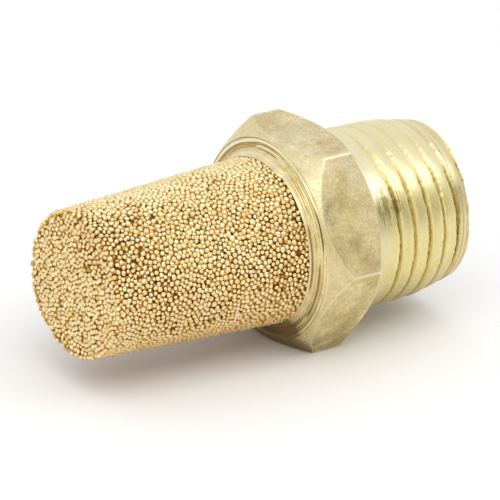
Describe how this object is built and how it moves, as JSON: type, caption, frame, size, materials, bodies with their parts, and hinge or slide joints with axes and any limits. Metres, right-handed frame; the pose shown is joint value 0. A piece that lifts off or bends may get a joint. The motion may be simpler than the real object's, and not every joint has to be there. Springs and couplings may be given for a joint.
{
  "type": "pneumatic muffler",
  "caption": "Brass exhaust muffler: a hexagon body with a male pipe thread, and a tapered closed cup of sintered bronze beads held in its front by a rolled lip.",
  "frame": {"origin": "on the muffler's axis, in the plane of the hexagon's rear face, where the port's face meets it", "axes": "+X along the axis to the free end of the thread, +Z normal to the hexagon's upper flat; the muffler lies on the opposite flat, with hexagon corners to +Y and -Y"},
  "size_m": [0.0303, 0.0174, 0.015],
  "materials": {
    "turned_brass": "turned and tumbled, satin, a little stained, brighter on worn edges and on the thread",
    "sintered_bronze": "sintered beads, bright on the beads and dark between them"
  },
  "bodies": {
    "root": {"hex_body": "turned_brass", "sintered_element": "sintered_bronze"}
  },
  "joints": []
}
